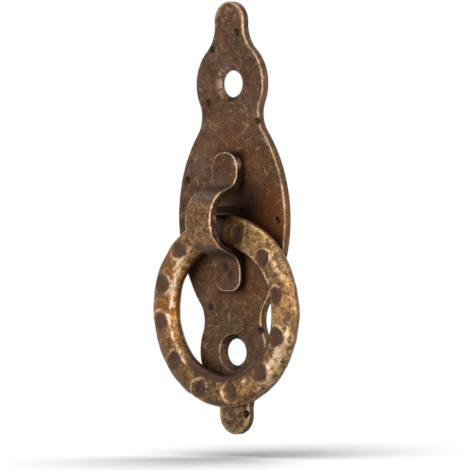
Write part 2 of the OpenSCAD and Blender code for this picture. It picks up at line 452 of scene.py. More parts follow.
@dataclass(frozen=True)
class AgedBrass:
    """Brass under a worn brown patina.

    Reads four masks from the mesh: "wear" is 1 where hands and edges rub the
    patina off, "hollow" is 1 where it is dark, from patina in real hollows and
    from painted shade and painted shadow, "warm" is 1 where it has an orange
    stain, and "pale" is 1 where a pinkish grey highlight is painted. A long
    single scratch in cuts is the standing x and z of its start and of its end,
    in millimetres, and how bold it is. A layer of hairs is its turn in radians
    and how far it is pulled along. Sizes of noises are in millimetres.
    """

    name: str
    deep: Colour = (0.042, 0.019, 0.010)
    brown: Colour = (0.149, 0.077, 0.041)
    tan: Colour = (0.213, 0.126, 0.056)
    gold: Colour = (0.430, 0.282, 0.135)
    copper: Colour = (0.172, 0.054, 0.010)
    shade: Colour = (0.088, 0.043, 0.028)
    pale: Colour = (0.590, 0.415, 0.275)
    mauve: Colour = (0.137, 0.073, 0.056)
    olive: Colour = (0.132, 0.082, 0.034)
    stain_tint: Colour = (1.0, 0.73, 0.45)
    rub: float = 0.25
    seed: float = 0.0
    dark_rough: float = 0.44
    bare_rough: float = 0.36
    bumps: float = 0.7
    bump_height: float = 0.12 * MM
    wax: float = 0.05
    wax_rough: float = 0.32
    scratches: float = 0.52
    patchy: float = 1.7
    pitting: float = 0.50
    flecks: float = 0.30
    veil: float = 0.60
    soot: float = 0.62
    cloud_size: float = 8.0
    stain_size: float = 4.5
    mottle_size: float = 1.3
    speck_size: float = 0.42
    grit_size: float = 0.26
    layers: tuple[tuple[float, float], ...] = ((0.5, 0.30), (-0.8, 0.22), (1.35, 0.24))
    cuts: tuple[Cut, ...] = ()

    def material(self) -> bpy.types.Material:
        """Build the node material.

        Returns:
            The material.
        """
        made = bpy.data.materials.new(self.name)
        nodes = Nodes(made)
        here = nodes.vector("MULTIPLY", nodes.local(), (1 / MM, 1 / MM, 1 / MM))
        place = nodes.vector("ADD", here, (self.seed, -self.seed, 2.0 * self.seed))
        wear, hollow, warm, pale = map(nodes.attribute, ("wear", "hollow", "warm", "pale"))
        cloud = nodes.noise(place, self.cloud_size, 3.0)
        mottle = nodes.noise(place, self.mottle_size, 6.0, 0.66, 0.5)
        grit = nodes.noise(place, self.grit_size, 3.0, 0.65, 0.4)
        speck = nodes.noise(place, self.speck_size, 2.0, 0.5)
        stain = nodes.noise(place, self.stain_size, 4.0, 0.6, 1.2)
        blotch, dust, drift = mottle - 0.5, grit - 0.5, cloud * 0.6 + stain * 0.4
        pits = speck.step(0.42, 0.30)
        hairs = self.hairs(nodes, place, mottle)
        if self.cuts:
            hairs = hairs | self.long_cuts(nodes, here, mottle)
        hairs = hairs * (wear * 1.2 + 1.0).clamped()
        hollow = (hollow * (blotch * 0.9 + 1.0)).clamped()

        # patina: brown with mauve and olive patches, orange stains and tan mottling
        tone = (cloud * 0.35 + mottle * 0.25 + grit * 0.70).step(0.52, 0.80)
        base = nodes.mix(tone, self.deep, self.brown)
        base = nodes.mix(drift.step(0.49, 0.60) * self.veil, base, self.mauve)
        base = nodes.mix(drift.step(0.48, 0.39) * (0.6 * self.veil), base, self.olive)
        base = nodes.mix((stain.step(0.54, 0.70) * 0.35 | warm).clamped(), base, self.copper)
        base = nodes.mix((mottle * 0.4 + grit * 0.7).step(0.54, 0.68) * 0.42, base, self.tan)

        # bare metal where it is rubbed, flecked or scratched
        rubbed = wear + blotch * self.patchy + dust * 1.2 - 0.70 + self.rub * 0.5
        sparks = (speck * 0.7 + mottle * 0.45).step(0.66, 0.80) * self.flecks
        bare = (rubbed.step(0.0, 0.95) | sparks | hairs) * (1.0 - hollow * 0.92)
        bare = (bare * (1.0 - pits * 0.8)).clamped()
        colour = nodes.mix(bare, base, self.gold)

        # stains, painted highlights, pits, and dark patina and painted shade over both
        stained = (warm * (blotch * 3.0 + dust * 1.5 + 0.75)).clamped()
        colour = nodes.mix(stained, colour, self.stain_tint, "MULTIPLY")
        # painted highlight: a pinkish grey laid where the pale mask is high
        highlit = (pale * (blotch * 2.2 + dust * 3.2 + 0.78)).clamped()
        colour = nodes.mix(highlit, colour, self.pale)
        colour = nodes.mix(pits * self.pitting, colour, self.deep)
        # the hollow mask's dark colour: patina in real hollows, painted shade and painted shadow
        # elsewhere
        soot = tuple(self.soot * part for part in self.shade)
        patina_and_shade = nodes.mix((mottle * 0.6 + grit * 0.4).step(0.62, 0.42), self.shade, soot)
        colour = nodes.mix(hollow * 0.97, colour, patina_and_shade)

        rough = bare * (self.bare_rough - self.dark_rough) + self.dark_rough + dust * 0.22
        height = mottle * 0.85 + grit * 0.20 - pits * 0.22 - hairs * 0.10
        relief = {"Strength": self.bumps, "Distance": self.bump_height, "Height": height}
        sockets = {
            "Base Color": colour,
            "Metallic": bare * 0.1 + 0.88,
            "Roughness": rough.clamped(),
            "Normal": nodes.node("ShaderNodeBump", {}, relief),
            "Coat Weight": self.wax,
            "Coat Roughness": self.wax_rough,
        }
        nodes.finish("Material", nodes.shader("BsdfPrincipled", **sockets))
        return made

    def long_cuts(self, nodes: Nodes, here: Sock, waver: Sock) -> Sock:
        """Single long scratches.

        Args:
            nodes: the material's tree.
            here: place on the piece in millimetres.
            waver: noise that bends the lines and breaks them up.

        Returns:
            A mask that is 1 along the scratches.
        """
        lines = []
        for x0, z0, x1, z1, share in self.cuts:
            length = math.hypot(x1 - x0, z1 - z0)
            x, z = (x1 - x0) / length, (z1 - z0) / length
            reach = nodes.vector("SUBTRACT", here, (x0, 0.0, z0))
            along = nodes.vector("DOT_PRODUCT", reach, (x, 0.0, z), out="Value")
            across = nodes.vector("DOT_PRODUCT", reach, (-z, 0.0, x), out="Value")
            across = across + (waver - 0.5) * 0.6
            line = (across * across).step(0.020, 0.002) * along.step(-0.15, 0.35)
            lines.append(line * along.step(length + 0.15, length - 0.35) * share)
        return reduce(or_, lines) * waver.step(0.36, 0.52)

    def hairs(self, nodes: Nodes, place: Sock, breaks: Sock) -> Sock:
        """Hairline scratches, where a stretched noise crosses its middle value.

        Args:
            nodes: the material's tree.
            place: place in millimetres.
            breaks: noise that breaks the lines up.

        Returns:
            A mask that is 1 along the scratches.
        """
        lines = []
        for turn, pull in self.layers:
            sockets = {"Vector": place, "Angle": turn}
            spun = nodes.node("ShaderNodeVectorRotate", {"rotation_type": "Y_AXIS"}, sockets)
            drawn = nodes.vector("MULTIPLY", spun, (pull * 0.26, pull, pull * 1.2))
            wave = nodes.noise(drawn, 1.0, 1.0, 0.35, 0.12)
            line = wave.step(0.492, 0.499) * wave.step(0.508, 0.501)
            lines.append(line * breaks.step(0.49, 0.58))
        return reduce(or_, lines) * self.scratches


# ---------------------------------------------------------------- backplate


@dataclass(frozen=True)
class Spot:
    """A round mark on the plate's front.

    Attributes:
        x: how far right its middle lies.
        y: how far up its middle lies.
        reach: its radius.
        share: how deep or how strong it is.
    """

    x: float
    y: float
    reach: float
    share: float

    def gap(self, x: np.ndarray, y: np.ndarray) -> np.ndarray:
        """Distance from its middle, as a share of its radius."""
        return np.hypot(x - self.x, y - self.y) / self.reach


@dataclass
class Backplate:
    """The shaped plate with its two countersunk holes and its punched dots.

    The edge goes up over edge_foot, each row how far in and how far up, and
    then over the angles of edge_turns. dot_rings holds a share of a dot's reach
    and a count of points. tongues are the heights between which the strap's two
    tongues lie.
    """

    height: float = 80.7
    width: float = 27.0
    thickness: float = 1.6
    side_r: float = 27.0
    waist_r: float = 5.4
    lobe_r: float = 8.5
    neck_r: float = 6.4
    tip_r: float = 3.75
    edge_r: float = 0.46
    edge_pitch: float = 0.24
    edge_foot: tuple[tuple[float, float], ...] = (
        (0.16, 0.0),
        (0.05, 0.05),
        (0.0, 0.16),
        (0.0, 0.5),
        (0.0, 0.82),
    )
    edge_turns: tuple[int, ...] = (8, 24, 40, 56, 72, 90)
    screw_pitch: float = 50.0
    screw_r: float = 2.5
    sink_r: float = 3.45
    rim_soft: float = 0.14
    back_flare: float = 0.1
    hole_points: int = 96
    slot: Box = (-3.05, 0.35, 3.05, 2.75)
    slot_corner: float = 0.3
    slot_depth: float = 0.5
    front_pitch: float = 0.34
    back_pitch: float = 0.8
    dot_rings: tuple[tuple[float, int], ...] = (
        (0.3, 8),
        (0.6, 14),
        (0.8, 18),
        (0.95, 22),
        (1.1, 24),
        (1.35, 26),
        (1.65, 28),
    )
    dots: tuple[Spot, ...] = (
        Spot(2.0, 34.5, 0.66, 0.42),
        Spot(-4.3, 31.5, 0.66, 0.42),
        Spot(-5.4, 21.6, 0.66, 0.40),
        Spot(6.85, 17.85, 0.66, 0.36),
        Spot(-10.9, 7.3, 0.66, 0.42),
        Spot(11.4, -0.6, 0.66, 0.34),
        Spot(-12.4, -0.9, 0.66, 0.12),
        Spot(-5.6, -16.6, 0.66, 0.24),
        Spot(6.95, -20.9, 0.66, 0.42),
        Spot(3.05, -36.4, 0.66, 0.42),
    )
    stains: tuple[Spot, ...] = (
        Spot(9.5, 1.0, 4.8, 1.00),
        Spot(5.0, 9.5, 5.0, 0.34),
        Spot(0.0, -9.0, 6.0, 0.50),
        Spot(7.0, -12.0, 4.0, 0.40),
        Spot(1.0, 14.0, 5.0, 0.34),
        Spot(-6.0, -9.0, 3.0, 0.40),
    )
    tongues: tuple[tuple[float, float], ...] = ((3.4, 12.3), (-13.7, -5.0))
    tongue_half: float = 3.0
    # where the painted shadow of the arch on the plate is centred, and how far it spreads
    shadow_at: tuple[float, float] = (3.0, 1.0)
    shadow_size: tuple[float, float] = (5.2, 4.5)
    lit_way: float = -20.0
    finish: AgedBrass = AgedBrass(
        "patina_plate",
        shade=(0.016, 0.009, 0.006),
        rub=0.05,
        cuts=(
            (3.45, 21.20, 4.41, 19.59, 0.9),
            (4.41, 19.59, 4.64, 18.66, 0.9),
            (3.13, 17.78, 4.73, 16.80, 1.0),
            (8.19, 9.50, 9.14, 7.63, 0.9),
            (6.00, 5.10, 5.98, 3.99, 1.0),
            (-0.79, -17.32, -0.84, -19.74, 0.8),
            (-6.65, -20.05, -4.40, -20.02, 0.38),
            (-4.60, -20.02, 1.41, -19.92, 0.11),
            (1.41, -19.92, 5.80, -19.50, 0.15),
            (-4.57, -17.33, -3.58, -18.45, 0.6),
            (3.81, 14.23, 5.57, 14.93, 0.5),
            (3.35, 16.10, 3.31, 14.25, 0.5),
        ),
    )

    def outline(self) -> tuple[np.ndarray, np.ndarray]:
        """Right edge from the lowest to the highest point.

        Returns:
            Its points and their outward normals.
        """
        side = np.array([self.width / 2 - self.side_r, 0.0])
        lobe = np.array([0.0, self.screw_pitch / 2])
        tip = np.array([0.0, self.height / 2 - self.tip_r])
        waist = outer_meet(side, self.side_r + self.waist_r, lobe, self.lobe_r + self.waist_r)
        neck = outer_meet(lobe, self.lobe_r + self.neck_r, tip, self.tip_r + self.neck_r)
        stretches = (
            (side, self.side_r, 0.0, heading(side, waist), 1),
            (waist, self.waist_r, 180 + heading(side, waist), 180 + heading(lobe, waist), -1),
            (lobe, self.lobe_r, heading(lobe, waist), heading(lobe, neck), 1),
            (neck, self.neck_r, 180 + heading(lobe, neck), 180 + heading(tip, neck), -1),
            (tip, self.tip_r, heading(tip, neck), 90.0, 1),
        )
        points, normals = [], []
        for centre, radius, start, stop, sign in stretches:
            steps = max(6, round(radius * abs(math.radians(stop - start)) / self.edge_pitch))
            run = arc(centre, radius, start, stop, steps)[1:]
            points.append(run)
            normals.append(sign * (run - centre) / radius)
        upper, upward = np.concatenate(points), np.concatenate(normals)
        flip = np.array([1.0, -1.0])
        edge = np.concatenate([upper[::-1] * flip, [[self.width / 2, 0.0]], upper])
        return edge, np.concatenate([upward[::-1] * flip, [[1.0, 0.0]], upward])

    def sag(self, spot: np.ndarray) -> np.ndarray:
        """How far the front face lies under its plane, from wear and punched dots.

        Args:
            spot: x and y, one row each.

        Returns:
            Depth in millimetres, below 0 only on the raised rim of a dot.
        """
        place = at_level(spot, 0.0)
        depth = np.zeros(len(spot))
        for share, size, seed in ((0.035, 7.0, 3), (0.018, 2.6, 4), (0.007, 0.9, 5)):
            depth += share * (1 + grain(place, size, seed))
        for dot in self.dots:
            gap = dot.gap(spot[:, 0], spot[:, 1])
            raised = 0.025 * fading(gap - 1.35, 0.22)
            depth += dot.share * (1.0 - eased((gap - 0.55) / 0.5)) - raised
        return depth

    def build(self) -> bpy.types.Object:
        """Make the plate.

        Returns:
            The piece.
        """
        skin = Skin()
        skirt = self.skirt()
        skin.add_rings(skirt)
        sinks = [self.sink(sign) for sign in (-1, 1)]
        mouths = [(sink[0][:, :2], self.sink_r + self.rim_soft) for sink in sinks]
        self.add_sheet(skin, skirt[-1][:, :2], mouths, True)
        backs = [(sink[-1][:, :2], self.screw_r + self.back_flare) for sink in sinks]
        slot = rounded_box(self.slot, self.slot_corner, 5)
        self.add_sheet(skin, skirt[0][:, :2], [*backs, (slot, self.slot_corner)], False)
        for sink in sinks:
            skin.add_rings(sink)
        walls = [at_level(slot, z) for z in (0.0, self.slot_depth / 2, self.slot_depth)]
        skin.add_rings(walls)
        skin.add(walls[-1], [range(len(slot))])
        masks = self.masks(skin.points())
        return skin.piece("backplate_body", masks, self.finish, "base", "backplate")

    def skirt(self) -> list[np.ndarray]:
        """Rings round the plate's edge, from its back to its worn front.

        Returns:
            The rings.
        """
        right, right_normal = self.outline()
        mirror = np.array([-1.0, 1.0])
        edge = np.concatenate([right, right[-2:0:-1] * mirror])
        normal = np.concatenate([right_normal, right_normal[-2:0:-1] * mirror])
        around = at_level(edge, 0.0)
        worn = self.edge_r * (1.0 + 0.22 * grain(around, 4.0, 11) + 0.12 * grain(around, 1.3, 12))
        wavy = 0.02 * (1 + grain(around, 2.2, 13))
        rings = []
        for inset, z in self.edge_foot:
            rings.append(at_level(edge - normal * (inset + wavy * min(1.0, 4 * z))[:, None], z))
        for angle in self.edge_turns:
            lean = math.radians(angle)
            ring = edge - normal * (worn * (1 - math.cos(lean)) + wavy)[:, None]
            fall = worn * (1 - math.sin(lean))
            rings.append(at_level(ring, self.thickness - fall - self.sag(ring) * math.sin(lean)))
        return rings

    def sink(self, sign: int) -> list[np.ndarray]:
        """Rings of a countersunk hole, from its soft front rim to the back.

        Args:
            sign: 1 for the upper hole and -1 for the lower one.

        Returns:
            The rings.
        """
        centre = (0.0, sign * self.screw_pitch / 2)
        rings = []
        for radius, depth in (
            (self.sink_r + self.rim_soft, 0.0),
            (self.sink_r + 0.05, 0.035),
            (self.sink_r - 0.04, 0.12),
            (3.2, 0.34),
            (2.95, 0.58),
            (2.7, 0.80),
            (self.screw_r + 0.04, 0.95),
            (self.screw_r, 1.02),
        ):
            ring = circle(centre, radius, self.hole_points)
            worn = self.sag(ring) * max(0.0, 1.0 - depth / 0.2)
            rings.append(at_level(ring, self.thickness - depth - worn))
        for wider, z in ((0.0, 0.3), (0.0, 0.12), (0.03, 0.04), (self.back_flare, 0.0)):
            rings.append(at_level(circle(centre, self.screw_r + wider, self.hole_points), z))
        return rings

    def add_sheet(
        self, skin: Skin, rim: np.ndarray, holes: list[tuple[np.ndarray, float]], front: bool
    ) -> None:
        """Fill the flat front or back between its rim and its holes.

        Args:
            skin: the mesh that is added to.
            rim: outer loop of x and y.
            holes: inner loops, each with the radius of its corners.
            front: whether it is the front.
        """
        pitch = self.front_pitch if front else self.back_pitch
        rows = np.arange(-self.height / 2, self.height / 2, pitch * 0.866)
        row = np.arange(-self.width / 2, self.width / 2, pitch)
        grid = np.array([(x + i % 2 * pitch / 2, y) for i, y in enumerate(rows) for x in row])
        free = self.inside(grid, rim, pitch * 0.6)
        for loop, corner in holes:
            free &= self.outside(grid, loop, corner) > pitch * 0.5
        if front:
            spots = []
            for dot in self.dots:
                free &= dot.gap(grid[:, 0], grid[:, 1]) > 2.0
                spots.append([[dot.x, dot.y]])
                for share, count in self.dot_rings:
                    spots.append(circle((dot.x, dot.y), dot.reach * share, count))
            dotted = np.concatenate(spots)
            grid = np.concatenate([grid[free], dotted[self.inside(dotted, rim, 0.06)]])
        else:
            grid = grid[free]
        loops = [rim] + [loop for loop, _ in holes]
        joins, start = [], 0
        for loop in loops:
            joins += [(start + i, start + (i + 1) % len(loop)) for i in range(len(loop))]
            start += len(loop)
        corners = [Vector(p) for p in np.concatenate([*loops, grid]).tolist()]
        placed, _, made, *_ = delaunay_2d_cdt(corners, joins, [], 0, 1e-7)
        flat = np.array([tuple(v) for v in placed])
        triangles = np.array([f for f in made if len(f) == 3])
        middle = flat[triangles].mean(axis=1)
        kept = self.inside(middle, rim, 0.0)
        for loop, corner in holes:
            kept &= self.outside(middle, loop, corner) > -0.0005 * corner
        depth = self.thickness - self.sag(flat) if front else 0.0
        skin.add(at_level(flat, depth), triangles[kept].tolist())

    @staticmethod
    def outside(spots: np.ndarray, loop: np.ndarray, corner: float) -> np.ndarray:
        """How far spots lie outside a round-cornered loop.

        Args:
            spots: x and y, one row each.
            loop: the loop.
            corner: radius of its corners.

        Returns:
            The distance of each spot, below 0 inside the loop.
        """
        low, high = loop.min(axis=0), loop.max(axis=0)
        beyond = np.abs(spots - (low + high) / 2) - (high - low) / 2 + corner
        return np.hypot(*np.maximum(beyond, 0).T) - corner

    @staticmethod
    def inside(spots: np.ndarray, rim: np.ndarray, margin: float) -> np.ndarray:
        """Whether spots lie inside the plate's outline.

        Args:
            spots: x and y, one row each.
            rim: the loop that bounds them, up its right side and down its left.
            margin: how far inside they have to lie.

        Returns:
            One truth value for each spot.
        """
        x, y = spots.T
        half = len(rim) // 2
        sides = []
        for side in (rim[: half + 1], np.concatenate([rim[half:], rim[:1]])):
            order = np.argsort(side[:, 1])
            sides.append(np.interp(y, side[order, 1], side[order, 0]))
        low, high = rim[:, 1].min() + margin, rim[:, 1].max() - margin
        return (y > low) & (y < high) & (x < sides[0] - margin) & (x > sides[1] + margin)

    def masks(self, solid: np.ndarray) -> Masks:
        """Where the plate is rubbed bare, dark, stained orange or painted with a highlight.

        Args:
            solid: all points.

        Returns:
            The four masks.
        """
        x, y, z = solid.T
        right, _ = self.outline()
        rise = np.gradient(right[:, 0], right[:, 1] + np.arange(len(right)) * 1e-9)
        slope = np.clip(np.interp(y, right[:, 1], rise), -3, 3)
        away = (np.interp(y, right[:, 1], right[:, 0]) - np.abs(x)) / np.sqrt(1 + slope**2)
        front = eased((z - 0.9) / 0.5)

        # the worn line along the front edge, brighter on the right side and carrying a painted
        # highlight; the rubbed tips and the duller middle and back
        line = eased((z - 1.15) / 0.25) * fading(away - 0.30, 0.22)
        uneven = 1.40 + 0.35 * grain(solid, 2.4, 21) + 0.35 * grain(solid, 0.8, 24)
        wear = line * uneven * np.where(x > 0, 1.0, 0.7)
        wear = most(wear, 0.5 * front * fading(away, 0.9))
        wear += front * np.where(y > 0, 0.65, 0.90) * eased((np.abs(y) - 32.5) / 3.5)
        wear -= 0.22 * np.exp(-((x / 7.0) ** 2) - (y / 14.0) ** 2)
        wear -= 0.50 * (z < 0.1)
        pale = 0.50 * line * np.where(x > 0, 1.0, 0.3) * eased(0.6 + 0.9 * grain(solid, 3.4, 27))

        # dots, dark where they are deep
        hollow = np.zeros(len(solid))
        for dot in self.dots:
            sunk = (1 - eased((dot.gap(x, y) - 0.85) / 0.35)) * min(0.8, dot.share * 3.4)
            hollow = most(hollow, sunk * (z > 0.9))

        # countersinks: a worn rim, brighter on the side towards the light, and walls with a painted
        # highlight on that side and painted shade on the other
        lit = 0.26 + 0.70 * grain(solid, 0.9, 25) + 0.5 * grain(solid, 0.45, 26)
        for sign, rubbed, bare, shine, dark in ((-1, 1.3, 0.20, 0, 0.35), (1, 0.7, 0.35, 1, 0)):
            above = y - sign * self.screw_pitch / 2
            gap = np.hypot(x, above)
            facing = 0.5 - 0.5 * np.cos(np.arctan2(above, x) - math.radians(self.lit_way))
            rim = fading(gap - self.sink_r, 0.14)
            rim = rim * (0.35 + 0.9 * facing + 0.3 * grain(solid, 1.2, 23))
            wall = (gap < self.sink_r - 0.05) & (z < 1.56)
            wear = np.where(wall, 0.05 + bare * facing, most(wear, front * rim * rubbed))
            pale = most(pale, shine * wall * eased((facing - 0.60) / 0.38) * lit)
            hollow = most(hollow, wall * eased((0.62 - facing) / 0.5) * 0.85, dark * wall)

        # painted shade and a warm halo round the strap's tongues, painted shadow behind its arch
        halo = np.zeros(len(solid))
        for low, high in self.tongues:
            beyond = most(low - y, y - high + 0.4, 0)
            gap = np.hypot(most(np.abs(x) - self.tongue_half, 0), beyond)
            hollow = most(hollow, 0.75 * front * fading(gap, 0.75))
            halo = most(halo, front * fading(gap, 1.5))
        (shadow_x, shadow_y), (wide, tall) = self.shadow_at, self.shadow_size
        under = np.hypot((x - shadow_x) / wide, (y - shadow_y) / tall)
        hollow = most(hollow, front * fading(under, 1.0))
        warm = 0.6 * halo
        cloudy = 0.8 + 0.4 * grain(solid, 2.0, 22)
        for stain in self.stains:
            warm = most(warm, stain.share * fading(stain.gap(x, y), 1.0) * cloudy)
        return {"wear": wear, "hollow": hollow, "warm": np.clip(warm, 0, 1), "pale": pale}


# ---------------------------------------------------------------- strap


@dataclass
class Strap:
    """The bent strap that holds the ring, with its tenon.

    A smudge is x, y, its reach in x and in y, and how dark it is. The nub is a
    rubbed place that carries a painted highlight, as x, y and z.
    """

    width: float = 6.3
    plate_t: float = 1.6
    arch_front: float = 11.0
    hollow_front: float = 9.2
    arch_y: float = -0.531
    low_hollow_y: float = -1.281
    top_hollow_y: float = -0.231
    arch_r: float = 6.0
    hollow_r: float = 4.4
    bend_r: float = 3.0
    turn: float = 71.0
    top_t: float = 1.75
    low_t: float = 1.2
    top_len: float = 3.75
    low_len: float = 3.9
    top_corner: float = 2.9
    low_corner: float = 2.3
    edge_r: float = 0.32
    back_r: float = 0.14
    dip: float = 0.1
    arch_points: int = 45
    foot_points: int = 34
    leg_points: int = 9
    tenon: Box = (-2.4, 1.0, 2.4, 2.1)
    tenon_corner: float = 0.22
    rivet: Box = (-3.0, 0.4, 3.0, 2.7)
    rivet_corner: float = 0.3
    nub: tuple[float, float, float] = (3.15, 10.3, 2.5)
    nub_reach: float = 0.85
    smudges: tuple[Smudge, ...] = ((-0.4, -9.0, 0.8, 1.1, 1.5), (0.9, -10.4, 1.0, 1.4, 1.0))
    finish: AgedBrass = AgedBrass(
        "patina_strap",
        brown=(0.128, 0.066, 0.038),
        tan=(0.205, 0.122, 0.064),
        gold=(0.485, 0.280, 0.125),
        pale=(0.680, 0.520, 0.390),
        shade=(0.030, 0.017, 0.010),
        rub=0.22,
        seed=13.0,
        scratches=0.40,
        veil=0.35,
    )

    def half_bend(
        self, y: float, front: float, r: float, foot_r: float, foot: float, rest: float, way: int
    ) -> np.ndarray:
        """Half of a bent curve, from the front of its arch to its foot.

        Args:
            y: height of the arch's middle.
            front: how far forward the arch reaches.
            r: radius of the arch.
            foot_r: radius of the bend at the foot.
            foot: how far forward the foot lies.
            rest: angle in degrees at which the foot's bend stops.
            way: 1 for the upper half and -1 for the lower half.

        Returns:
            Points as height and distance forward.
        """
        turn = math.radians(self.turn)
        leg = (front - foot - (r + foot_r) * (1 - math.cos(turn))) / math.sin(turn)
        bend_y = y + way * ((r + foot_r) * math.sin(turn) + leg * math.cos(turn))
        a = np.linspace(0, turn, self.arch_points)[1:]
        arch = np.stack([y + way * r * np.sin(a), front - r + r * np.cos(a)], axis=1)
        b = np.linspace(turn, math.radians(rest), self.foot_points)
        ahead = foot + foot_r - foot_r * np.cos(b)
        bend = np.stack([bend_y - way * foot_r * np.sin(b), ahead], axis=1)
        share = np.linspace(0, 1, self.leg_points)[1:-1, None]
        return np.concatenate([arch, arch[-1] * (1 - share) + bend[0] * share, bend])

    def half_stations(
        self, way: int, t: float, hollow_y: float, length: float, corner: float
    ) -> tuple[np.ndarray, np.ndarray, np.ndarray]:
        """Stations of one half, from beside the middle of the arch to a tongue's end.

        Args:
            way: 1 for the upper half and -1 for the lower half.
            t: thickness of its tongue.
            hollow_y: height of the middle of the arch's hollow.
            length: length of its tongue.
            corner: radius of its tongue's corners.

        Returns:
            Front points, back points and half widths.
        """
        foot_r = t + self.bend_r
        rest = math.degrees(math.acos(1 - self.dip / foot_r))
        top = self.plate_t + t
        arch, hollow = (self.arch_front, self.arch_r), (self.hollow_front, self.hollow_r)
        front = self.half_bend(self.arch_y, *arch, self.bend_r, top, 0.0, way)
        back = self.half_bend(hollow_y, *hollow, foot_r, self.plate_t - self.dip, rest, way)
        back[-1, 1] = self.plate_t
        start, end = front[-1, 0], front[-1, 0] + way * length
        flat = start + (end - way * corner - start) * np.linspace(0, 1, 8)[1:-1]
        round_a = np.radians(np.linspace(0, 90, 30))
        ys = np.concatenate([flat, end - way * corner * (1 - np.sin(round_a))])
        short = np.maximum(self.edge_r - np.abs(end - ys), 0)
        fall = self.edge_r - np.sqrt(self.edge_r**2 - short**2)
        tongue_front = np.stack([ys, top - fall], axis=1)
        tongue_back = np.stack([ys, np.full(len(ys), self.plate_t)], axis=1)
        straight = np.full(len(front) + len(flat), self.width / 2)
        rounded = self.width / 2 - corner + corner * np.cos(round_a)
        wide = np.concatenate([straight, rounded])
        return np.concatenate([front, tongue_front]), np.concatenate([back, tongue_back]), wide

    def stations(self) -> list[np.ndarray]:
        """Front points, back points and half widths, from the upper to the lower end.

        Returns:
            The three lists, one row for each station.
        """
        high = self.half_stations(1, self.top_t, self.top_hollow_y, self.top_len, self.top_corner)
        low = self.half_stations(-1, self.low_t, self.low_hollow_y, self.low_len, self.low_corner)
        middle = (
            [[self.arch_y, self.arch_front]],
            [[self.arch_y, self.hollow_front]],
            [self.width / 2],
        )
        return [np.concatenate([h[::-1], m, w]) for h, m, w in zip(high, middle, low)]

    def slice_at(self, front: np.ndarray, back: np.ndarray, half: float) -> np.ndarray:
        """Cross-section of the strip at one station.

        Args:
            front: its front point, as height and distance forward.
            back: its back point.
            half: half its width.

        Returns:
            For each point x, y, z and how far it is a worn edge, a side and the inside.
        """
        depth = float(np.linalg.norm(front - back))
        uneven = float(grain(np.array([[front[0], front[1], 0.0]]), 2.0, 31)[0])
        e = min(self.edge_r * (1 + 0.2 * uneven), half * 0.98, depth * 0.8)
        s = min(self.back_r, half * 0.5, depth * 0.3)
        low = arc((half - s, s), s, -90, 0, 3)
        wall = np.linspace([half, s], [half, depth - e], 12)[1:-1]
        side = np.concatenate([low, wall, arc((half - e, depth - e), e, 0, 90, 9)])
        top = np.linspace([half - e, depth], [-(half - e), depth], 26)[1:-1]
        bottom = np.linspace([-(half - s), 0.0], [half - s, 0.0], 18)[1:-1]
        outline = np.concatenate([bottom, side, top, (side * [-1.0, 1.0])[::-1]])
        across, up = np.abs(outline[:, 0]), outline[:, 1]
        lean = e * (1 - math.sqrt(0.5))
        front_gap = np.hypot(half - lean - across, depth - lean - up)
        worn = fading(front_gap, 0.19 if front[1] > 6.5 else 0.11)
        worn += 0.45 * fading(np.hypot(half - across, up), 0.15)
        risen = back + (front - back) / depth * outline[:, 1:]
        return np.column_stack([outline[:, 0], risen, worn, across > half - 0.05, up < 0.05])

    def build(self) -> bpy.types.Object:
        """Make the strap.

        Returns:
            The piece.
        """
        slices = [self.slice_at(*station) for station in zip(*self.stations())]
        rows = np.concatenate(slices)
        points = rows[:, :3].copy()
        free = eased((points[:, 2] - self.plate_t - 0.15) / 0.4)
        wobble = 0.05 * grain(points, 3.2, 33) + 0.02 * grain(points, 1.1, 34)
        points[:, 2] += free * (wobble - 0.03)
        points[:, 0] += 0.04 * grain(points, 2.5, 35) * free
        skin = Skin()
        skin.add(points, ring_faces(len(slices), len(slices[0]), Ends.CAPPED))
        masks = self.masks(points, *rows[:, 3:].T)
        return skin.piece("strap_body", masks, self.finish, "base", "strap")

    def masks(
        self, points: np.ndarray, edge: np.ndarray, side: np.ndarray, inner: np.ndarray
    ) -> Masks:
        """Where the strap is rubbed bare, dark, stained orange or painted with a highlight.

        Args:
            points: all points.
            edge: how far each lies on a worn edge.
            side: 1 on the strip's sides.
            inner: 1 on its inside.

        Returns:
            The four masks.
        """
        x, y, z = points.T
        arch = eased((z - 6.0) / 4.0)
        bend = eased((z - 3.2) / 2.0) * (1 - eased((z - 7.5) / 2.0))
        specks = grain(points, 0.42, 39)
        uneven = 0.85 + 0.20 * arch + 0.25 * grain(points, 1.6, 36) + (0.25 + 0.85 * arch) * specks
        line = most(edge, 1.2 * self.tongue_line(points)) * uneven
        flecks = side * arch * (0.62 + 0.9 * specks + 0.4 * grain(points, 1.2, 40))
        nub = fading(np.linalg.norm(points - np.array(self.nub), axis=1), self.nub_reach)
        nub = nub * (1 + 0.6 * specks)
        wear = 0.9 * line + 0.88 * arch * (1 - side) + np.maximum(flecks, 0)
        wear = np.clip(wear + 1.1 * nub, 0, 1.8)
        cover = 1 - np.minimum(wear + 1.6 * nub, 1)
        # painted shade: darker near the plate, and darker away from the arch, most on the bends
        hollow = 0.85 * (1 - eased((z - self.plate_t) / 0.5))
        hollow = hollow + (0.14 * (1 - arch) + 0.22 * bend) * cover
        cloudy = 0.9 + 0.5 * grain(points, 1.0, 38)
        for sx, sy, wide, tall, share in self.smudges:
            smudge = np.hypot((x - sx) / wide, (y - sy) / tall)
            hollow = most(hollow, share * fading(smudge, 1.0) * cloudy)
        # painted shade on the strip's inside, which faces the plate, and on its sides
        hollow = most(hollow, 0.85 * inner, 0.72 * side * cover)
        warm = 0.35 * eased((x - 1.2) / 1.6) * (1 - arch) * (1 - side)
        warm = 0.14 + 0.22 * grain(points, 2.0, 37) + warm
        # painted highlight on the nub, along the worn edges and on the side's flecks
        pale = most(1.3 * nub, (0.80 - 0.50 * arch) * line, 0.20 * flecks)
        hollow, warm = np.clip(hollow, 0, 1), np.clip(warm, 0, 1)
        return {"wear": wear, "hollow": hollow, "warm": warm, "pale": pale}

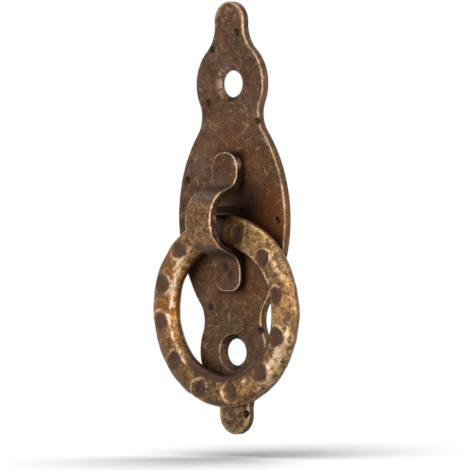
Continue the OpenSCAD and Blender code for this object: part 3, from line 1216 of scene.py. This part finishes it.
    def tongue_line(self, points: np.ndarray) -> np.ndarray:
        """Thin worn line just inside the outline of both tongues.

        Args:
            points: all points of the strap.

        Returns:
            1 along the line and 0 away from it.
        """
        front, _, _ = self.stations()
        x, y, z = points.T
        total = np.zeros(len(points))
        for end, way, t, corner in (
            (front[0, 0], 1, self.top_t, self.top_corner),
            (front[-1, 0], -1, self.low_t, self.low_corner),
        ):
            along = corner - way * (end - y)
            across = np.abs(x) - (self.width / 2 - corner)
            inside = corner - np.hypot(np.maximum(along, 0), np.maximum(across, 0))
            on_top = (z > self.plate_t + t - 0.45) & (z < self.plate_t + t + 0.6)
            total = most(total, fading(inside - 0.14, 0.10) * on_top * (along > -4.0))
        return total

    def build_tenon(self) -> bpy.types.Object:
        """Make the tenon with its riveted head.

        Returns:
            The piece.
        """
        loops = []
        for grow, z in ((-0.25, 0.0), (-0.08, 0.03), (0.0, 0.12), (0.0, 0.45)):
            box = np.add(self.rivet, (-grow, -grow, grow, grow))
            loops.append(at_level(rounded_box(box, self.rivet_corner, 4), z))
        for z in np.linspace(0.46, self.hollow_front + 0.3, 24):
            loops.append(at_level(rounded_box(self.tenon, self.tenon_corner, 4), z))
        points = np.concatenate(loops)
        points[:, 1] += 0.03 * grain(points, 1.5, 41)
        skin = Skin()
        skin.add(points, ring_faces(len(loops), len(loops[0]), Ends.CAPPED))
        wear = np.clip(0.25 + 0.3 * grain(points, 1.2, 42), 0, 1)
        # painted shade: the whole tenon is darkened, as it sits under the arch
        masks = {"wear": wear, "hollow": np.full(len(points), 0.85)}
        return skin.piece("strap_tenon", masks, self.finish, "base", "strap")


# ---------------------------------------------------------------- ring


@dataclass(frozen=True)
class Blow:
    """One hammered hollow in the ring's front.

    Attributes:
        angle: clockwise from the top, in degrees.
        along: half length along the ring.
        across: half width across the ring.
        depth: depth at its middle.
        off: how far its middle lies outward from the ring's middle line.
        twist: turn of its long axis, in degrees.
        lip_way: way from its middle to its highest lip, anticlockwise from the right.
        lip_share: how bold that lip is.
        dark: how dark it has stayed.
    """

    angle: float
    along: float
    across: float
    depth: float
    off: float
    twist: float
    lip_way: float
    lip_share: float
    dark: float = 1.0


@dataclass(frozen=True)
class Mark:
    """One raised place with a painted highlight, a stained place or a rubbed place on the ring.

    Attributes:
        angle: clockwise from the top, in degrees.
        along: its reach along the ring.
        share: how strong it is; below 0 it takes away.
        off: how far its middle lies outward from the ring's middle line.
        across: its reach across the ring.
    """

    angle: float
    along: float
    share: float
    off: float = 0.0
    across: float = 0.0


@dataclass
class Blank:
    """The points of the ring while it is being shaped.

    Attributes:
        angle: clockwise from the top, in radians.
        out: how far each lies outward from the ring's middle line.
        high: how far each lies forward of it.
        face: how far each faces forward, from -1 to 1.
        place: where each lay before any shaping.
        hollow: 1 in the hammered hollows, darkened by patina and by painted shade.
        rim: 1 on their raised lips, which carry a painted highlight.
        glint: 1 on the raised patches that carry a painted highlight.
    """

    angle: np.ndarray
    out: np.ndarray
    high: np.ndarray
    face: np.ndarray
    place: np.ndarray
    hollow: np.ndarray | float = 0.0
    rim: np.ndarray | float = 0.0
    glint: np.ndarray | float = 0.0


@dataclass
class Ring:
    """The closed hammered ring.

    A rub is its angle clockwise from the top in degrees, how strong it is, the
    cosine at which it starts and how soon it is full.
    """

    radius: float = 14.9
    width: float = 6.0
    thickness: float = 3.2
    edge_r: float = 1.15
    crown_r: float = 5.18
    lean: float = 0.5
    centre: tuple[float, float] = (-17.299, 3.480)
    steps: int = 660
    around: int = 112
    blunt: float = 0.06
    lip_height: float = 0.34
    glint_height: float = 0.14
    eye_half: float = 13.0
    foot_at: float = -12.0
    blows: tuple[Blow, ...] = (
        Blow(17.4, 1.50, 1.95, 0.32, 0.10, 6.0, 20.0, 0.2, 0.85),
        Blow(46.5, 1.62, 1.88, 0.60, -0.45, -20.0, 50.0, 1.2),
        Blow(77.9, 1.62, 1.70, 0.55, -0.60, 0.0, 150.0, 0.6),
        Blow(108.7, 1.85, 1.95, 0.58, -0.48, 15.0, 25.0, 1.0, 0.95),
        Blow(139.6, 1.90, 2.00, 0.55, -0.12, -12.0, -35.0, 1.0),
        Blow(171.4, 1.65, 2.00, 0.55, 0.22, 10.0, 190.0, 0.7, 0.72),
        Blow(201.0, 1.60, 1.95, 0.58, 0.58, -8.0, 150.0, 0.8),
        Blow(231.4, 1.78, 1.95, 0.58, 0.32, 14.0, 110.0, 0.6),
        Blow(262.0, 1.80, 1.80, 0.50, 0.70, 0.0, 80.0, 0.8),
        Blow(289.8, 1.85, 2.00, 0.55, 0.52, -6.0, 0.0, 0.9, 0.66),
        Blow(318.8, 1.70, 1.90, 0.50, 0.35, 10.0, -75.0, 1.0, 0.90),
        Blow(348.0, 1.60, 1.90, 0.50, 0.0, 0.0, 0.0, 0.5),
    )
    glints: tuple[Mark, ...] = (
        Mark(311.0, 1.6, 1.0, -1.30, 0.40),
        Mark(304.0, 2.2, 1.0, -1.90, 0.38),
        Mark(295.0, 2.0, 1.0, -2.15, 0.36),
        Mark(284.0, 2.0, 1.0, -2.30, 0.36),
        Mark(276.0, 1.2, 0.8, -2.10, 0.35),
        Mark(262.0, 1.2, 0.7, -1.70, 0.45),
        Mark(250.0, 1.6, 0.8, -1.75, 0.28),
        Mark(240.0, 1.4, 0.8, -1.90, 0.30),
        Mark(228.0, 1.2, 0.6, -1.50, 0.26),
        Mark(58.0, 2.4, 0.65, 1.20, 0.50),
        Mark(67.0, 1.8, 0.45, 1.50, 0.50),
        Mark(61.0, 2.4, 1.0, -2.15, 0.40),
        Mark(42.0, 2.4, 0.9, -2.35, 0.20),
        Mark(104.0, 1.4, 1.0, 1.80, 0.55),
        Mark(111.0, 1.8, 1.0, 1.35, 0.52),
        Mark(119.5, 2.0, 1.0, 0.75, 0.55),
        Mark(130.0, 2.0, 1.0, 0.60, 0.50),
        Mark(136.0, 1.2, 0.9, 0.95, 0.40),
        Mark(148.0, 1.4, 0.7, 1.85, 0.35),
        Mark(112.0, 2.4, 0.42, 2.00, 0.55),
        Mark(123.0, 3.0, 0.48, 1.75, 0.70),
        Mark(136.0, 2.6, 0.44, 1.85, 0.60),
        Mark(157.0, 0.6, 0.5, -0.80, 0.40),
        Mark(200.0, 1.0, 0.7, -0.65, 0.35),
    )
    stains: tuple[Mark, ...] = (
        Mark(272.0, 4.6, 1.0),
        Mark(10.0, 2.4, 1.0),
        Mark(306.0, 4.0, 0.65),
        Mark(166.0, 2.0, 0.6),
        Mark(246.0, 3.0, 0.45),
        Mark(86.0, 3.0, 0.3),
    )
    rubs: tuple[tuple[float, float, float, float], ...] = (
        (22.0, 0.28, 0.91, 0.08),
        (140.0, 0.18, 0.86, 0.10),
        (232.0, -0.25, 0.85, 0.12),
        (66.0, -0.10, 0.91, 0.07),
        (100.0, 0.10, 0.93, 0.06),
    )
    finish: AgedBrass = AgedBrass(
        "patina_ring",
        deep=(0.062, 0.029, 0.012),
        brown=(0.195, 0.096, 0.040),
        tan=(0.290, 0.162, 0.060),
        gold=(0.530, 0.310, 0.118),
        copper=(0.225, 0.095, 0.026),
        shade=(0.094, 0.045, 0.033),
        pale=(0.820, 0.588, 0.402),
        rub=0.90,
        seed=41.0,
        dark_rough=0.38,
        bare_rough=0.30,
        bumps=0.8,
        patchy=2.6,
        pitting=0.75,
        flecks=0.75,
        veil=0.20,
    )

    def section(self) -> tuple[np.ndarray, np.ndarray]:
        """Oval section with even steps.

        Returns:
            Points outward and forward of the section's middle, and how far
            each faces forward, from -1 to 1.
        """
        a, b, e = self.width / 2, self.thickness / 2, self.edge_r
        face_r = ((a - e) ** 2 + b * b - e * e) / (2 * (b - e))
        turn = math.degrees(math.atan2(face_r - b, a - e))
        corner = arc((a - e, 0), e, 0, turn, 200)
        fine = np.concatenate([corner, arc((0, b - face_r), face_r, turn, 90, 400)[1:]])
        quarter = np.concatenate([fine, (fine * [-1, 1])[::-1][1:]])
        whole = np.concatenate([quarter, (quarter * [1, -1])[::-1][1:-1]])
        closed = np.concatenate([whole, whole[:1]])
        run = np.concatenate([[0], np.cumsum(np.linalg.norm(np.diff(closed, axis=0), axis=1))])
        even = np.linspace(0, run[-1], self.around + 1)[:-1]
        spots = np.stack([np.interp(even, run, column) for column in closed.T], axis=1)
        tangent = np.roll(spots, -1, axis=0) - np.roll(spots, 1, axis=0)
        return spots, -tangent[:, 0] / np.linalg.norm(tangent, axis=1)

    def blank(self) -> Blank:
        """Make the plain ring, swelling a little but for the stretch in its eye.

        Returns:
            Its points.
        """
        spots, facing = self.section()
        angle = np.repeat(np.radians(np.linspace(0, 360, self.steps + 1)[:-1]), self.around)
        out, high = (np.tile(column, self.steps) for column in spots.T)
        radial = self.radius + out
        place = np.stack([radial * np.sin(angle), radial * np.cos(angle), high], axis=1)
        swell = 0.09 * grain(place, 6.0, 51) + 0.15 * grain(place, 2.6, 52)
        swell = swell + 0.03 * grain(place, 0.9, 53)
        eye = np.abs(turned_from(angle, 0.0))
        swell *= 0.1 + 0.9 * eased((eye - math.radians(self.eye_half)) / math.radians(8.0))
        out = out * (1 + swell / (self.width / 2))
        swell = np.where(high > 0, swell, 0.4 * swell - 0.03)
        high = high * (1 + swell / (self.thickness / 2))
        return Blank(angle, out, high, np.tile(facing, self.steps), place)

    def hammer(self, blank: Blank) -> None:
        """Strike the hollows into the front and raise their lips.

        Args:
            blank: the ring, whose height and marks are changed.
        """
        q, h, place = blank.out, blank.high, blank.place
        crown = self.thickness / 2 - q**2 / (2 * self.crown_r)
        front = eased(blank.face * 2)
        broken, frayed = 0.75 + 0.5 * grain(place, 1.4, 80), 0.16 * grain(place, 0.8, 82)
        soft = self.blunt
        for number, blow in enumerate(self.blows):
            away = turned_from(blank.angle, blow.angle) * (self.radius + q)
            near = (np.abs(away) < 4.5) & (blank.face > -0.2)
            cos, sin = math.cos(math.radians(blow.twist)), math.sin(math.radians(blow.twist))
            side = q - blow.off
            long, cross = away * cos + side * sin, side * cos - away * sin
            ragged = 1 + 0.20 * grain(place, 1.9, 60 + number)
            share = np.hypot(long / blow.along, cross / blow.across) * ragged
            gap = h - (crown - blow.depth * (1 - share**2))
            blunt = np.where(gap < -soft, 0.0, (gap + soft) ** 2 / (4 * soft))
            h = np.where(near & (share < 1.3), h - np.where(gap > soft, gap, blunt), h)
            at = math.radians(blow.angle)
            middle = (self.radius + blow.off) * np.array([math.sin(at), math.cos(at)])
            way = np.arctan2(place[:, 1] - middle[1], place[:, 0] - middle[0])
            turn = np.cos(way - math.radians(blow.lip_way))
            lip = fading(share - 1.18, 0.15) * near * (eased(0.35 + 0.75 * turn) * blow.lip_share)
            h = h + self.lip_height * lip * front * broken
            blank.rim = most(blank.rim, lip)
            # the hollow's mark grows darker towards its edge and on its lip's side: painted shade
            # over the patina
            sunk = near * (1 - eased((share + frayed - 0.55) / 0.55))
            sunk = sunk * (0.80 + 0.20 * eased(share / 0.8))
            under_lip = 0.88 + 0.12 * turn * np.minimum(share, 1.0)
            blank.hollow = most(blank.hollow, blow.dark * under_lip * sunk)
        blank.high = h

    def polish(self, blank: Blank) -> None:
        """Raise the patches that carry a painted highlight, and mark them.

        Args:
            blank: the ring, whose height and marks are changed.
        """
        for mark in self.glints:
            away = turned_from(blank.angle, mark.angle) * (self.radius + mark.off) / mark.along
            patch = np.exp(-(away**2) - ((blank.out - mark.off) / mark.across) ** 2)
            blank.glint = most(blank.glint, mark.share * patch * (blank.face > -0.1))
        blank.high = blank.high + self.glint_height * blank.glint * (1 - blank.hollow)

    def build(self) -> bpy.types.Object:
        """Make the ring.

        Returns:
            The piece.
        """
        blank = self.blank()
        self.hammer(blank)
        self.polish(blank)
        h = blank.high
        x, y = (self.radius + blank.out) * np.array([np.sin(blank.angle), np.cos(blank.angle)])
        cos, sin = math.cos(math.radians(self.lean)), math.sin(math.radians(self.lean))
        up, out = y * cos - h * sin + self.centre[0], y * sin + h * cos + self.centre[1]
        points = np.stack([x, up, out], axis=1)
        skin = Skin()
        skin.add(points, ring_faces(self.steps, self.around, Ends.JOINED))
        return skin.piece("ring_body", self.masks(points, blank), self.finish, "ring", "ring")

    def masks(self, points: np.ndarray, blank: Blank) -> Masks:
        """Where the ring is rubbed bare, dark, stained orange or painted with a highlight.

        Args:
            points: all points.
            blank: the same points on the shaped ring, with their marks.

        Returns:
            The four masks.
        """
        angle, q, face = blank.angle, blank.out, blank.face
        rim, glint, hollow = blank.rim, blank.glint, blank.hollow
        high = eased((face + 0.3) / 0.9)
        outward = np.clip(q / (self.width / 2), -1, 1)
        wear = high * (0.40 - 0.06 * outward + 0.42 * grain(points, 3.2, 55))
        wear = wear + 0.40 * rim * high
        for place, share, low, width in self.rubs:
            near = np.cos(angle - math.radians(place))
            wear += share * high * eased((near - low) / width)
        # bare metal on the glints, part of their painted highlight
        wear = wear + 0.6 * glint
        warm = np.zeros(len(q))
        cloudy = 0.7 + 0.6 * grain(points, 1.6, 56)
        for stain in self.stains:
            away = turned_from(angle, stain.angle) * self.radius
            warm = most(warm, stain.share * fading(away, stain.along) * cloudy)
        # painted highlight on the lips and the glints, and a painted reflection along the outer
        # edge
        lip_highlight = 0.90 * rim * high * eased(0.55 + 0.9 * grain(points, 1.4, 80))
        ragged = 0.55 * grain(points, 1.3, 57) + 0.45 * grain(points, 0.55, 59)
        shine = 0.95 * eased((glint + 0.9 * ragged - 0.12) / 0.75) * (glint > 0.03)
        pale = most(lip_highlight, shine, 0.10 * eased((q - 2.35) / 0.45))

        # darker on the inside at the foot of the ring; painted shadow where it lies in the strap's
        # eye
        foot = -np.cos(angle - math.radians(self.foot_at))
        foot_dark = eased((foot - 0.35) / 0.4) * eased((-1.3 - q) / 0.9)
        eye = (np.abs(turned_from(angle, 0.0)) - math.radians(2.5)) / math.radians(5.0)
        hollow = most(hollow, 0.90 * foot_dark, 0.97 * (1 - eased(eye)) * (face > -0.5))
        return {
            "wear": np.clip(wear * (1 - hollow), 0, 1),
            "hollow": np.clip(hollow, 0, 1),
            "warm": np.clip(warm, 0, 1) * (1 - hollow) * (0.35 + 0.65 * high),
            "pale": np.clip(pale, 0, 1) * (1 - hollow),
        }


# ---------------------------------------------------------------- studio


class Side(Enum):
    """Where a lamp stands, as azimuth and elevation in degrees."""

    FRONT = (18.0, 2.0)
    RIGHT = (76.0, 0.0)
    TOP = (30.0, 68.0)


@dataclass(frozen=True)
class Lamp:
    """One soft lamp that faces the object.

    Attributes:
        name: its name.
        side: where it stands.
        size: width and height in metres.
        reach: distance from the object in metres.
        watts: its power.
        tint: its colour.
    """

    name: str
    side: Side
    size: tuple[float, float]
    reach: float
    watts: float
    tint: Colour

    def build(self) -> None:
        """Add the lamp."""
        data = bpy.data.lights.new(self.name, "AREA")
        data.shape = "RECTANGLE"
        data.size, data.size_y = self.size
        data.energy = self.watts
        data.color = self.tint
        lamp = bpy.data.objects.new(self.name, data)
        bpy.context.scene.collection.objects.link(lamp)
        way = Studio.direction(*self.side.value)
        lamp.location = way * self.reach
        lamp.rotation_mode = "QUATERNION"
        lamp.rotation_quaternion = way.to_track_quat("Z", "Y")


@dataclass
class Studio:
    """White floor, soft lamps and the camera at the photograph's angle."""

    azimuth: float = 42.0
    elevation: float = -0.24
    roll: float = 0.81
    distance: float = 0.7385
    focal: float = 3960.6
    frame: int = 470
    origin_at: tuple[float, float] = (236.59, 217.93)
    floor_z: float = -0.0446
    floor_r: float = 0.30
    floor_white: Colour = (0.8, 0.8, 0.8)
    floor_glow: float = 0.62
    shadow_reach: float = 0.09
    sky: float = 0.38
    lamps: tuple[Lamp, ...] = (
        Lamp("lamp_front", Side.FRONT, (0.66, 1.00), 1.0, 3.8, (1.0, 0.97, 0.94)),
        Lamp("lamp_right", Side.RIGHT, (0.60, 1.00), 1.0, 4.5, (1.0, 0.97, 0.97)),
        Lamp("lamp_top", Side.TOP, (0.50, 0.40), 0.7, 1.2, WHITE),
    )

    @staticmethod
    def direction(azimuth: float, elevation: float) -> Vector:
        """Direction from the object towards a place round it."""
        a, e = math.radians(azimuth), math.radians(elevation)
        return Vector((math.sin(a) * math.cos(e), -math.cos(a) * math.cos(e), math.sin(e)))

    def camera(self) -> None:
        """Place the camera so that the origin falls on its pixel in the photograph."""
        data = bpy.data.cameras.new("camera")
        data.sensor_width = 36.0
        data.lens = self.focal * data.sensor_width / self.frame
        cam = bpy.data.objects.new("camera", data)
        bpy.context.scene.collection.objects.link(cam)
        back = self.direction(self.azimuth, self.elevation)
        cam.location = back * self.distance
        right = Vector((0, 0, 1)).cross(back).normalized()
        up = back.cross(right)
        cos, sin = math.cos(math.radians(self.roll)), math.sin(math.radians(self.roll))
        right, up = right * cos - up * sin, up * cos + right * sin
        half = self.frame / 2
        dx = (self.origin_at[0] - half) / self.focal
        dy = (half - self.origin_at[1]) / self.focal
        forward = (-back - right * dx - up * dy).normalized()
        right = forward.cross(up).normalized()
        turn = Matrix((right, right.cross(forward), -forward)).transposed()
        cam.rotation_mode = "QUATERNION"
        cam.rotation_quaternion = turn.to_quaternion()
        bpy.context.scene.camera = cam

    def world(self) -> None:
        """White behind the object, plain grey light round it."""
        world = bpy.data.worlds.new("studio_air")
        bpy.context.scene.world = world
        nodes = Nodes(world)
        white = nodes.shader("Background", Color=WHITE, Strength=1.0)
        air = nodes.shader("Background", Color=WHITE, Strength=self.sky)
        nodes.finish("World", nodes.blended(nodes.seen(), air, white))

    def floor(self) -> None:
        """Round white floor that keeps the object's shadow and fades into the white behind it."""
        rim = circle((0.0, 0.0), self.floor_r, 96)
        mesh = bpy.data.meshes.new("floor")
        mesh.from_pydata(at_level(rim, 0.0).tolist(), [], [tuple(range(len(rim)))])
        piece = bpy.data.objects.new("floor", mesh)
        piece.location = (0, 0, self.floor_z)
        bpy.context.scene.collection.objects.link(piece)
        material = bpy.data.materials.new("white_floor")
        nodes = Nodes(material)
        matt = nodes.shader("BsdfDiffuse", Color=self.floor_white)
        glow = nodes.shader("Emission", Color=WHITE, Strength=self.floor_glow)
        # the glow is dimmed by ambient occlusion near the object: a painted shadow on top of the
        # real one
        sockets = {"Distance": self.shadow_reach}
        shelter = nodes.node("ShaderNodeAmbientOcclusion", {"samples": 16}, sockets, "AO")
        lit = nodes.blended(shelter.step(0.80, 1.0), glow)
        bright = nodes.node("ShaderNodeAddShader", {}, {0: matt, 1: lit})
        away = nodes.vector("LENGTH", nodes.local(), out="Value")
        fade = away.step(self.floor_r * 0.35, self.floor_r * 0.95)
        shown = nodes.blended(nodes.seen(), matt, bright)
        nodes.finish("Material", nodes.blended(fade, shown, nodes.shader("BsdfTransparent")))
        mesh.materials.append(material)

    def build(self) -> None:
        """Set up the whole studio."""
        self.camera()
        for lamp in self.lamps:
            lamp.build()
        self.world()
        self.floor()
        bpy.context.scene.view_settings.view_transform = "Standard"


def main() -> None:
    """Load the frame, build each piece and set up the studio."""
    logging.basicConfig(level=logging.INFO, format="%(name)s: %(message)s")
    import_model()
    strap = Strap()
    for make in (Backplate().build, strap.build, strap.build_tenon, Ring().build):
        mesh = make().data
        LOG.info("%s: %d points, %d faces", mesh.name, len(mesh.vertices), len(mesh.polygons))
    Studio().build()


if __name__ == "__main__":
    main()
